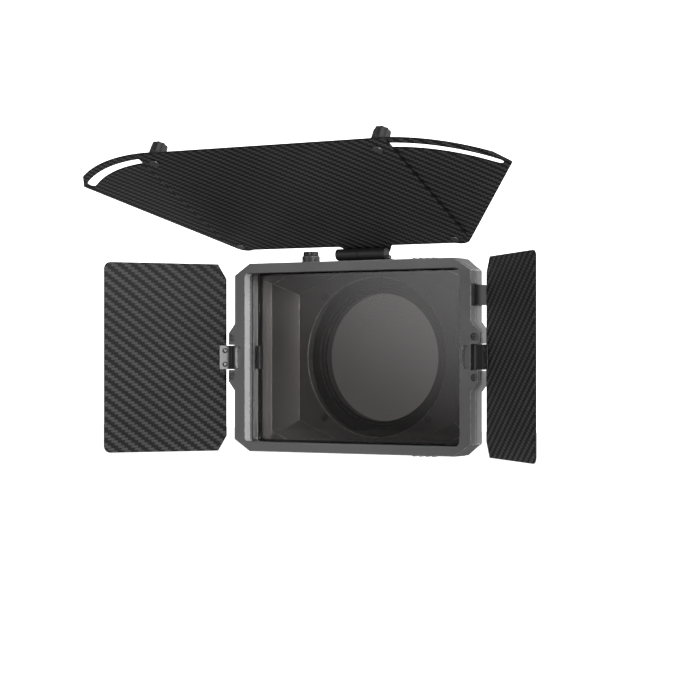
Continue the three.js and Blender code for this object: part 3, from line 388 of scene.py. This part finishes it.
def softened(node, width, least=1.2 * MM, segments=2):
    """A copy of a CAD node with its sharp edges rounded, and its new faces marked as edge."""
    work = bmesh.new()
    work.from_mesh(nodes[node].data)
    bmesh.ops.remove_doubles(work, verts=work.verts, dist=0.002 * MM)
    bmesh.ops.dissolve_limit(
        work, angle_limit=math.radians(0.6), verts=work.verts, edges=work.edges
    )
    mark = work.faces.layers.float.new("edge")
    work.edges.ensure_lookup_table()
    sharp = [
        edge for edge in work.edges
        if edge.is_manifold and edge.calc_length() > least
        and edge.calc_face_angle(0.0) > math.radians(42.0)
    ]
    if width and sharp:
        made = bmesh.ops.bevel(
            work, geom=sharp, offset=width, offset_type="OFFSET", segments=segments,
            profile=0.5, affect="EDGES", clamp_overlap=False, loop_slide=True,
        )
        for face in made["faces"]:
            face[mark] = 1.0
    mesh = bpy.data.meshes.new(node)
    work.to_mesh(mesh)
    work.free()
    smooth(mesh)
    helper = bpy.data.objects.new("helper", mesh)
    bpy.context.scene.collection.objects.link(helper)
    weighted = helper.modifiers.new("Weighted", "WEIGHTED_NORMAL")
    weighted.keep_sharp = True
    finished = evaluated(helper)
    bpy.data.objects.remove(helper)
    return finished


def mark_painted_light_walls(mesh):
    """Marks the walls in the front that face right, to be painted lighter: a painted highlight where
    the key light falls.
    """
    painted_light_wall = mesh.attributes.new("painted_light_wall", "FLOAT", "FACE")
    values = []
    for face in mesh.polygons:
        centre, normal = face.center, face.normal
        in_frame = abs(centre.x) < HALF_WIDTH - WALL_INSET and abs(centre.z) < OPENING_HALF_HEIGHT
        in_front = centre.y < FRONT_Y + WALL_DEPTH
        values.append(1.0 if in_frame and in_front and normal.x > 0.6 else 0.0)
    painted_light_wall.data.foreach_set("value", values)


def lay_weave(mesh, origin, across, up):
    """A map in metres in the flag's own plane, for the weave, and a mark on the cut rim."""
    facing = across.cross(up)
    rim = mesh.attributes.new("rim", "FLOAT", "FACE")
    leans = [abs(face.normal.dot(facing)) for face in mesh.polygons]
    rim.data.foreach_set("value", [1.0 if lean < 0.8 else 0.0 for lean in leans])
    layer = mesh.uv_layers.new(name="weave")
    for loop in mesh.loops:
        spot = mesh.vertices[loop.vertex_index].co - origin
        layer.data[loop.index].uv = (spot.dot(across), spot.dot(up))


def body_of(node):
    return nodes[node]["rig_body"]


def finish_node(node, name, slot, material, width, least=1.2 * MM):
    return place(name, softened(node, width, least), body_of(node), slot, material, [node])


front = softened("front_frame", 0.4 * MM, 2.2 * MM)
# The right-facing front walls are marked for their painted highlight.
mark_painted_light_walls(front)
place("front-frame", front, "housing", "anodised_aluminium", ANODISED, ["front_frame"])

# CAD node, piece, slot, material, then the rounding and the shortest edge rounded, in mm
PLAIN = [
    ("filter_stage", "filter-stage", "anodised_aluminium", ANODISED, 0.4, 2.2),
    ("hood_shell", "funnel-shell", "anodised_aluminium", ANODISED, 0.5, 2.0),
    ("back_plate", "back-plate", "anodised_aluminium", ANODISED, 0.4, 2.0),
    ("lock_knob_collar", "filter-lock-collar", "anodised_aluminium", HINGE_GREY, 0.4, 1.5),
    ("ring_housing", "clamp-ring", "black_metal", RING_BLACK, 0.5, 2.0),
    ("adapter_ring", "adapter-ring", "black_metal", RING_BLACK, 0.25, 2.0),
    ("filter_clip_left", "filter-clip-left", "black_metal", BLACK_METAL, 0.15, 1.0),
    ("filter_clip_right", "filter-clip-right", "black_metal", BLACK_METAL, 0.15, 1.0),
    ("side_latch", "side-latch", "black_metal", BLACK_METAL, 0.25, 1.6),
    ("hinge_base", "top-hinge-base", "black_metal", BLACK_METAL, 0.25, 1.3),
    ("hinge_leaf", "top-hinge-leaf", "black_metal", BLACK_METAL, 0.3, 1.3),
    ("side_leaf_left", "side-hinge-leaf-left", "black_metal", HINGE_GREY, 0.15, 1.2),
    ("side_leaf_right", "side-hinge-leaf-right", "black_metal", HINGE_GREY, 0.15, 1.2),
    ("filter_seal", "filter-seal", "foam", FOAM, 0.12, 2.0),
    ("filter_glass", "filter-glass", "smoked_glass", GLASS, 0.3, 1.0),
    ("lock_pad", "filter-lock-pad", "rubber", RUBBER, 0.1, 0.5),
    ("wing_washer_left", "wing-washer-left", "rubber", RUBBER, 0.12, 1.5),
    ("wing_washer_right", "wing-washer-right", "rubber", RUBBER, 0.12, 1.5),
    ("latch_pin", "latch-pin", "dark_steel", STEEL, 0.08, 0.2),
    ("hinge_pin", "top-hinge-pin", "dark_steel", STEEL, 0.12, 0.3),
    ("side_pin_left", "side-hinge-pin-left", "dark_steel", STEEL, 0.1, 0.2),
    ("side_pin_right", "side-hinge-pin-right", "dark_steel", STEEL, 0.1, 0.2),
    ("wing_pivot_left", "wing-rivet-left", "dark_steel", STEEL, 0.15, 1.2),
    ("wing_pivot_right", "wing-rivet-right", "dark_steel", STEEL, 0.15, 1.2),
    ("wing_bolt_left", "wing-bolt-left", "dark_steel", STEEL, 0.15, 1.2),
    ("wing_bolt_right", "wing-bolt-right", "dark_steel", STEEL, 0.15, 1.2),
]
finished = {}
for node, name, slot, material, width, least in PLAIN:
    finished[name] = finish_node(node, name, slot, material, width * MM, least * MM)

# The lamps reach the funnel through the filter
finished["filter-glass"].visible_shadow = False


# ---------------------------------------------------------------- the flags

hinge_frame = Matrix.Translation(TOP_HINGE) @ Matrix.Rotation(TOP_TILT, 4, "X")
panel_frame = hinge_frame @ Matrix.Translation(PANEL_ORIGIN)
panel_origin = panel_frame.translation
panel_across = panel_frame.to_3x3() @ Vector((1.0, 0.0, 0.0))
panel_forward = panel_frame.to_3x3() @ Vector((0.0, -1.0, 0.0))

for node, name in (("top_flag", "top-flag"), ("wing_left", "wing-left"), ("wing_right", "wing-right")):
    mesh = softened(node, 0.25 * MM, 0.8 * MM)
    lay_weave(mesh, panel_origin, panel_across, panel_forward)
    place(name, mesh, body_of(node), "carbon_fibre", TOP_CARBON, [node])

for side, sign in SIDES:
    turn = sign * (SIDE_REST[side] - math.pi / 2)
    outward = Matrix.Rotation(turn, 3, "Z") @ Vector((sign, 0.0, 0.0))
    pin = Vector((sign * SIDE_PIN.x, SIDE_PIN.y, 0.0))
    mesh = softened(f"side_flag_{side}", 0.25 * MM, 0.8 * MM)
    lay_weave(mesh, pin, outward, Vector((0.0, 0.0, 1.0)))
    place(
        f"side-flag-{side}", mesh, body_of(f"side_flag_{side}"), "carbon_fibre", SIDE_CARBON,
        [f"side_flag_{side}"],
    )


# ------------------------------------------------- knobs, by Geometry Nodes

def knob_tree():
    """A fluted knob standing on z = 0 with a rounded shoulder, a low dome and a shaft below."""
    inputs = [
        ("Geometry", GEOMETRY, None), ("Radius", NUMBER, 5.0 * MM), ("Height", NUMBER, 8.0 * MM),
        ("Flutes", NUMBER, 8.0), ("Flute Depth", NUMBER, 0.12), ("Taper", NUMBER, 0.9),
        ("Shaft Radius", NUMBER, 1.0 * MM), ("Shaft Length", NUMBER, 1.0 * MM),
        ("Material", MATERIAL, None),
    ]
    outputs = [("Geometry", GEOMETRY)]
    tree, g, start, end = new_group("Fluted knob", "GeometryNodeTree", inputs, outputs)
    body = g.add(
        "GeometryNodeMeshCylinder",
        {"Vertices": 96, "Side Segments": 14, "Fill Segments": 6, "Radius": 1.0, "Depth": 1.0},
        fill_type="TRIANGLE_FAN",
    ).outputs["Mesh"]
    x, y, z = g.split(g.add("GeometryNodeInputPosition").outputs[0])
    height = g.math("ADD", z, 0.5)
    reach = g.math("SQRT", g.math("ADD", g.math("MULTIPLY", x, x), g.math("MULTIPLY", y, y)))
    angle = g.math("ARCTAN2", y, x)
    taper = g.remap(height, 0.0, 1.0, 1.0, start["Taper"])
    past = g.math("DIVIDE", g.math("SUBTRACT", height, 0.8, clamp=True), 0.2)
    drop = g.math("SUBTRACT", 1.0, g.math("MULTIPLY", g.math("MULTIPLY", past, past), 0.24))
    foot = g.remap(height, 0.0, 0.08, 0.94, 1.0, True)
    wave = g.math("COSINE", g.math("MULTIPLY", angle, start["Flutes"]))
    hollow = g.math("POWER", g.math("MULTIPLY_ADD", wave, 0.5, 0.5), 0.8)
    fade = g.math("MULTIPLY", g.remap(height, 0.08, 0.2, 0.0, 1.0, True), start["Flute Depth"])
    flute = g.math("SUBTRACT", 1.0, g.math("MULTIPLY", hollow, fade))
    scale = g.math("MULTIPLY", g.math("MULTIPLY", taper, drop), g.math("MULTIPLY", foot, flute))
    wide = g.math("MULTIPLY", scale, start["Radius"])
    crown = g.math("MULTIPLY", g.math("SUBTRACT", 1.0, g.math("MULTIPLY", reach, reach)), 0.05)
    on_top = g.math("GREATER_THAN", height, 0.99)
    lowered = g.math("MULTIPLY_ADD", on_top, -0.05, height)
    tall = g.math("MULTIPLY", g.math("MULTIPLY_ADD", on_top, crown, lowered), start["Height"])
    spot = g.add("ShaderNodeCombineXYZ", {
        0: g.math("MULTIPLY", x, wide), 1: g.math("MULTIPLY", y, wide), 2: tall,
    }).outputs[0]
    shaped = g.add("GeometryNodeSetPosition", {"Geometry": body, "Position": spot}).outputs[0]
    shaft = g.add("GeometryNodeMeshCylinder", {
        "Vertices": 24, "Radius": start["Shaft Radius"], "Depth": start["Shaft Length"],
    }).outputs["Mesh"]
    down = g.math("MULTIPLY_ADD", start["Shaft Length"], -0.5, 0.3 * MM)
    lower = g.add("ShaderNodeCombineXYZ", {2: down}).outputs[0]
    moved = g.add("GeometryNodeTransform", {"Geometry": shaft, "Translation": lower}).outputs[0]
    both = g.add("GeometryNodeMeshBoolean", operation="UNION")
    g.tree.links.new(shaped, both.inputs["Mesh 2"])
    g.tree.links.new(moved, both.inputs["Mesh 2"])
    painted = g.add(
        "GeometryNodeSetMaterial", {"Geometry": both.outputs[0], "Material": start["Material"]}
    ).outputs[0]
    g.tree.links.new(painted, end["Geometry"])
    return tree


def screw_tree():
    """Cross-recessed screws on a mesh's points, each turned along its own stored axis."""
    inputs = [
        ("Geometry", GEOMETRY, None), ("Head Radius", NUMBER, 2.0 * MM),
        ("Head Height", NUMBER, 1.0 * MM), ("Shank Radius", NUMBER, 1.0 * MM),
        ("Shank Length", NUMBER, 5.0 * MM), ("Material", MATERIAL, None),
    ]
    outputs = [("Geometry", GEOMETRY)]
    tree, g, start, end = new_group("Cross-recessed screws", "GeometryNodeTree", inputs, outputs)
    head = g.add(
        "GeometryNodeMeshCylinder",
        {"Vertices": 32, "Side Segments": 2, "Fill Segments": 4, "Radius": 1.0, "Depth": 1.0},
        fill_type="TRIANGLE_FAN",
    ).outputs["Mesh"]
    x, y, z = g.split(g.add("GeometryNodeInputPosition").outputs[0])
    reach = g.math("ADD", g.math("MULTIPLY", x, x), g.math("MULTIPLY", y, y))
    upper = g.math("GREATER_THAN", z, 0.4)
    sag = g.math("MULTIPLY", g.math("MULTIPLY", reach, upper), 0.42)
    narrow = g.math("MULTIPLY_ADD", upper, -0.08, 1.0)
    wide = g.math("MULTIPLY", narrow, start["Head Radius"])
    tall = g.math("SUBTRACT", g.math("ADD", z, 0.5), sag)
    spot = g.add("ShaderNodeCombineXYZ", {
        0: g.math("MULTIPLY", x, wide), 1: g.math("MULTIPLY", y, wide),
        2: g.math("MULTIPLY", tall, start["Head Height"]),
    }).outputs[0]
    domed = g.add("GeometryNodeSetPosition", {"Geometry": head, "Position": spot}).outputs[0]
    shank = g.add("GeometryNodeMeshCylinder", {
        "Vertices": 20, "Radius": start["Shank Radius"], "Depth": start["Shank Length"],
    }).outputs["Mesh"]
    down = g.math("MULTIPLY_ADD", start["Shank Length"], -0.5, 0.2 * MM)
    lower = g.add("ShaderNodeCombineXYZ", {2: down}).outputs[0]
    shank = g.add("GeometryNodeTransform", {"Geometry": shank, "Translation": lower}).outputs[0]
    whole = g.add("GeometryNodeMeshBoolean", operation="UNION")
    g.tree.links.new(domed, whole.inputs["Mesh 2"])
    g.tree.links.new(shank, whole.inputs["Mesh 2"])
    arm = g.math("MULTIPLY", start["Head Radius"], 1.15)
    thin = g.math("MULTIPLY", start["Head Radius"], 0.28)
    up = g.add("ShaderNodeCombineXYZ", {2: start["Head Height"]}).outputs[0]
    cutter = g.add("GeometryNodeMeshBoolean", {"Mesh 1": whole.outputs[0]}, operation="DIFFERENCE")
    for wide_way in (True, False):
        sides = {0: arm if wide_way else thin, 1: thin if wide_way else arm, 2: start["Head Height"]}
        size = g.add("ShaderNodeCombineXYZ", sides).outputs[0]
        bar = g.add("GeometryNodeMeshCube", {"Size": size}).outputs["Mesh"]
        bar = g.add("GeometryNodeTransform", {"Geometry": bar, "Translation": up}).outputs[0]
        g.tree.links.new(bar, cutter.inputs["Mesh 2"])
    axis = g.add("GeometryNodeInputNamedAttribute", {"Name": "axis"}, data_type="FLOAT_VECTOR")
    aim = g.add("FunctionNodeAlignRotationToVector", {"Vector": axis.outputs[0]}, axis="Z")
    copies = g.add("GeometryNodeInstanceOnPoints", {
        "Points": start["Geometry"], "Instance": cutter.outputs[0], "Rotation": aim.outputs[0],
    }).outputs[0]
    solid = g.add("GeometryNodeRealizeInstances", {"Geometry": copies}).outputs[0]
    painted = g.add(
        "GeometryNodeSetMaterial", {"Geometry": solid, "Material": start["Material"]}
    ).outputs[0]
    g.tree.links.new(painted, end["Geometry"])
    return tree


KNOBS = knob_tree()
SCREWS = screw_tree()


def grown(tree, values, start_mesh):
    """Runs a Geometry Nodes tree with its named inputs set, and returns the mesh it makes."""
    helper = bpy.data.objects.new("helper", start_mesh)
    bpy.context.scene.collection.objects.link(helper)
    modifier = helper.modifiers.new("Shape", "NODES")
    modifier.node_group = tree
    for item in tree.interface.items_tree:
        if item.item_type == "SOCKET" and item.in_out == "INPUT" and item.name in values:
            modifier[item.identifier] = values[item.name]
    helper.update_tag()
    bpy.context.view_layer.update()
    mesh = evaluated(helper)
    bpy.data.objects.remove(helper)
    return mesh


def knob(node, name, slot, material, base, values):
    values = dict(values, Material=material)
    mesh = grown(KNOBS, values, bpy.data.meshes.new("start"))
    mesh.transform(base)
    smooth(mesh, 50.0)
    place(name, mesh, body_of(node), slot, material, [node])


for side, sign in SIDES:
    base = panel_frame @ Matrix.Translation(Vector((sign * WING_KNOB_X, -WING_KNOB_S, WING_KNOB_Z)))
    knob(f"wing_knob_{side}", f"wing-knob-{side}", "black_metal", BLACK_METAL, base, {
        "Radius": 5.15 * MM, "Height": 8.35 * MM, "Flutes": 8.0, "Flute Depth": 0.13,
        "Taper": 0.93, "Shaft Radius": 1.7 * MM, "Shaft Length": 0.5 * MM,
    })

lock_base = Matrix.Translation(LOCK_KNOB_BASE)
knob("filter_lock_knob", "filter-lock-knob", "black_metal", BLACK_METAL, lock_base, {
    "Radius": 4.75 * MM, "Height": 2.7 * MM, "Flutes": 12.0, "Flute Depth": 0.1, "Taper": 0.97,
    "Shaft Radius": 2.0 * MM, "Shaft Length": 8.6 * MM,
})

clamp_base = Matrix.Translation(CLAMP_KNOB_BASE)
knob("ring_clamp_screw", "clamp-screw", "black_metal", BLACK_METAL, clamp_base, {
    "Radius": 5.45 * MM, "Height": 8.0 * MM, "Flutes": 10.0, "Flute Depth": 0.12, "Taper": 0.95,
    "Shaft Radius": 1.9 * MM, "Shaft Length": 16.0 * MM,
})


def screw_seats(node_names, axis, head_height):
    """Where each CAD screw's head sits: the middle of its box, at the underside of the head."""
    seats = []
    for node in node_names:
        low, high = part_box(node)
        middle = (low + high) / 2
        reach = max((corner - middle).dot(axis) for corner in (low, high))
        seats.append(middle + axis * (reach - head_height))
    return seats


def screws(name, node_names, axis, seats, values, material=STEEL):
    mesh = bpy.data.meshes.new("seats")
    mesh.from_pydata(seats, [], [])
    stored = mesh.attributes.new("axis", "FLOAT_VECTOR", "POINT")
    stored.data.foreach_set("vector", [part for _ in seats for part in axis])
    made = grown(SCREWS, dict(values, Material=material), mesh)
    smooth(made, 35.0)
    place(name, made, body_of(node_names[0]), "dark_steel", material, node_names)


forward = Vector((0.0, -1.0, 0.0))
upward = Vector((0.0, 0.0, 1.0))

back_names = [f"back_screw_{i}" for i in range(1, 5)]
screws("back-plate-screws", back_names, forward, screw_seats(back_names, forward, 1.0 * MM), {
    "Head Radius": 2.25 * MM, "Head Height": 1.0 * MM, "Shank Radius": 1.25 * MM,
    "Shank Length": 10.5 * MM,
})

ear_names = [f"ear_screw_{side}_{i}" for side, _ in SIDES for i in (1, 2)]
screws("ear-screws", ear_names, forward, screw_seats(ear_names, forward, 1.1 * MM), {
    "Head Radius": 2.0 * MM, "Head Height": 1.1 * MM, "Shank Radius": 1.0 * MM,
    "Shank Length": 4.0 * MM,
}, ANODISED)

base_names = ["hinge_base_screw_1", "hinge_base_screw_2"]
screws("hinge-base-screws", base_names, upward, screw_seats(base_names, upward, 0.9 * MM), {
    "Head Radius": 2.0 * MM, "Head Height": 0.9 * MM, "Shank Radius": 1.15 * MM,
    "Shank Length": 4.4 * MM,
})

panel_up = panel_frame.to_3x3() @ upward
panel_names = ["panel_screw_1", "panel_screw_2"]
panel_seats = [panel_frame @ spot for spot in LEAF_SCREW_SPOTS]
screws("top-leaf-screws", panel_names, panel_up, panel_seats, {
    "Head Radius": 1.4 * MM, "Head Height": 0.8 * MM, "Shank Radius": 0.7 * MM,
    "Shank Length": 3.05 * MM,
})

for side, sign in SIDES:
    turn = Matrix.Rotation(sign * (SIDE_REST[side] - math.pi / 2), 4, "Z")
    hinge = Matrix.Translation((sign * SIDE_PIN.x, SIDE_PIN.y, 0.0)) @ turn
    facing = turn.to_3x3() @ forward
    leaf_names = [f"leaf_screw_{side}_{i}" for i in (1, 2)]
    seats = [
        hinge @ Vector((sign * SIDE_SCREW_U, SIDE_SCREW_Y, row * SIDE_SCREW_Z)) for row in (-1, 1)
    ]
    screws(f"side-leaf-screws-{side}", leaf_names, facing, seats, {
        "Head Radius": 1.5 * MM, "Head Height": 0.9 * MM, "Shank Radius": 0.8 * MM,
        "Shank Length": 2.2 * MM,
    })

finish_node(
    "hinge_tension_screw", "hinge-tension-screw", "dark_steel", HINGE_GREY, 0.1 * MM, 0.4 * MM
)


# ----------------------------------------------------------- studio and camera

def dimmed_through_glass(g):
    """One, or less for what is seen straight through the filter."""
    path = g.add("ShaderNodeLightPath").outputs
    through = g.math("GREATER_THAN", path["Transmission Depth"], 0.5)
    direct = g.math("LESS_THAN", path["Diffuse Depth"], 0.5)
    return g.math("MULTIPLY_ADD", g.math("MULTIPLY", through, direct), -GLASS_DIMMING, 1.0)


def studio_world():
    """A white sweep, brighter from the right, the back and above, and a card in front."""
    world = bpy.data.worlds.new("Studio")
    world.use_nodes = True
    tree = world.node_tree
    tree.nodes.clear()
    g = Graph(tree)
    direction = g.add("ShaderNodeTexCoord").outputs["Generated"]
    lean = g.add(
        "ShaderNodeVectorMath", {0: direction, 1: SWEEP_TOWARDS}, operation="DOT_PRODUCT"
    ).outputs["Value"]
    around = g.remap(lean, -0.5, 0.95, SWEEP_DIM, SWEEP_BRIGHT, True)
    card_lean = g.add(
        "ShaderNodeVectorMath", {0: direction, 1: CARD_TOWARDS}, operation="DOT_PRODUCT"
    ).outputs["Value"]
    card = g.remap(card_lean, CARD_EDGE, CARD_MIDDLE, 0.0, CARD_POWER, True)
    around = g.math("ADD", around, card)
    around = g.math("MULTIPLY", around, dimmed_through_glass(g))
    straight = g.add("ShaderNodeLightPath").outputs["Is Camera Ray"]
    strength = g.math("ADD", around, g.math("MULTIPLY", straight, BACKDROP_POWER))
    background = g.add("ShaderNodeBackground", {"Color": (1.0, 1.0, 1.0, 1.0), "Strength": strength})
    g.add("ShaderNodeOutputWorld", {"Surface": background.outputs[0]})
    bpy.context.scene.world = world


def studio_floor():
    mesh = bpy.data.meshes.new("floor")
    quarters = [(-1, -1), (1, -1), (1, 1), (-1, 1)]
    corners = [(x * FLOOR_REACH, y * FLOOR_REACH, FLOOR_LEVEL) for x, y in quarters]
    mesh.from_pydata(corners, [], [(0, 1, 2, 3)])
    floor = bpy.data.objects.new("studio-floor", mesh)
    bpy.context.scene.collection.objects.link(floor)
    material, g, shader = new_material("Pale floor", Roughness=0.9, Specular_IOR_Level=0.1)
    shader.inputs["Base Color"].default_value = grey(0.4)
    straight = g.add("ShaderNodeLightPath").outputs["Is Camera Ray"]
    white = g.add("ShaderNodeEmission", {"Color": grey(1.0), "Strength": 1.2})
    mixed = g.add("ShaderNodeMixShader", {0: straight, 1: shader.outputs[0], 2: white.outputs[0]})
    g.tree.links.new(mixed.outputs[0], g.tree.nodes["Material Output"].inputs["Surface"])
    mesh.materials.append(material)


def area_light(name, spot, target, width, height, power):
    data = bpy.data.lights.new(name, "AREA")
    data.shape = "RECTANGLE"
    data.size, data.size_y, data.energy = width, height, power
    light = bpy.data.objects.new(name, data)
    light.location = spot
    light.rotation_euler = (Vector(target) - Vector(spot)).to_track_quat("-Z", "Y").to_euler()
    bpy.context.scene.collection.objects.link(light)
    return light


def lit_pieces(name, woven):
    """A collection of the woven pieces, or of all the others, for a lamp to light."""
    chosen = bpy.data.collections.new(name)
    for piece in bpy.context.scene.objects:
        weave = piece.type == "MESH" and "weave" in piece.data.uv_layers
        if piece.type == "MESH" and weave == woven:
            chosen.objects.link(piece)
    return chosen


studio_world()
studio_floor()

# The woven flags take less of the key than the metal does
metal_key = area_light("key on metal", *KEY_PLACE, KEY_ON_METAL)
metal_key.light_linking.receiver_collection = lit_pieces("Metal", False)
woven_key = area_light("key on carbon", *KEY_PLACE, KEY_ON_CARBON)
woven_key.light_linking.receiver_collection = lit_pieces("Woven", True)
area_light("edge strip", *STRIP_PLACE, STRIP_POWER)

camera_data = bpy.data.cameras.new("camera")
camera_data.lens = CAMERA_LENS
camera_data.sensor_width = 36.0
camera_data.shift_y = CAMERA_SHIFT
camera_data.clip_start, camera_data.clip_end = 0.05, 20.0
camera = bpy.data.objects.new("camera", camera_data)
camera.location = CAMERA_PLACE
camera.rotation_euler = (math.radians(90.0), 0.0, CAMERA_HEADING)
bpy.context.scene.collection.objects.link(camera)
bpy.context.scene.camera = camera
bpy.context.scene.view_settings.view_transform = "Standard"
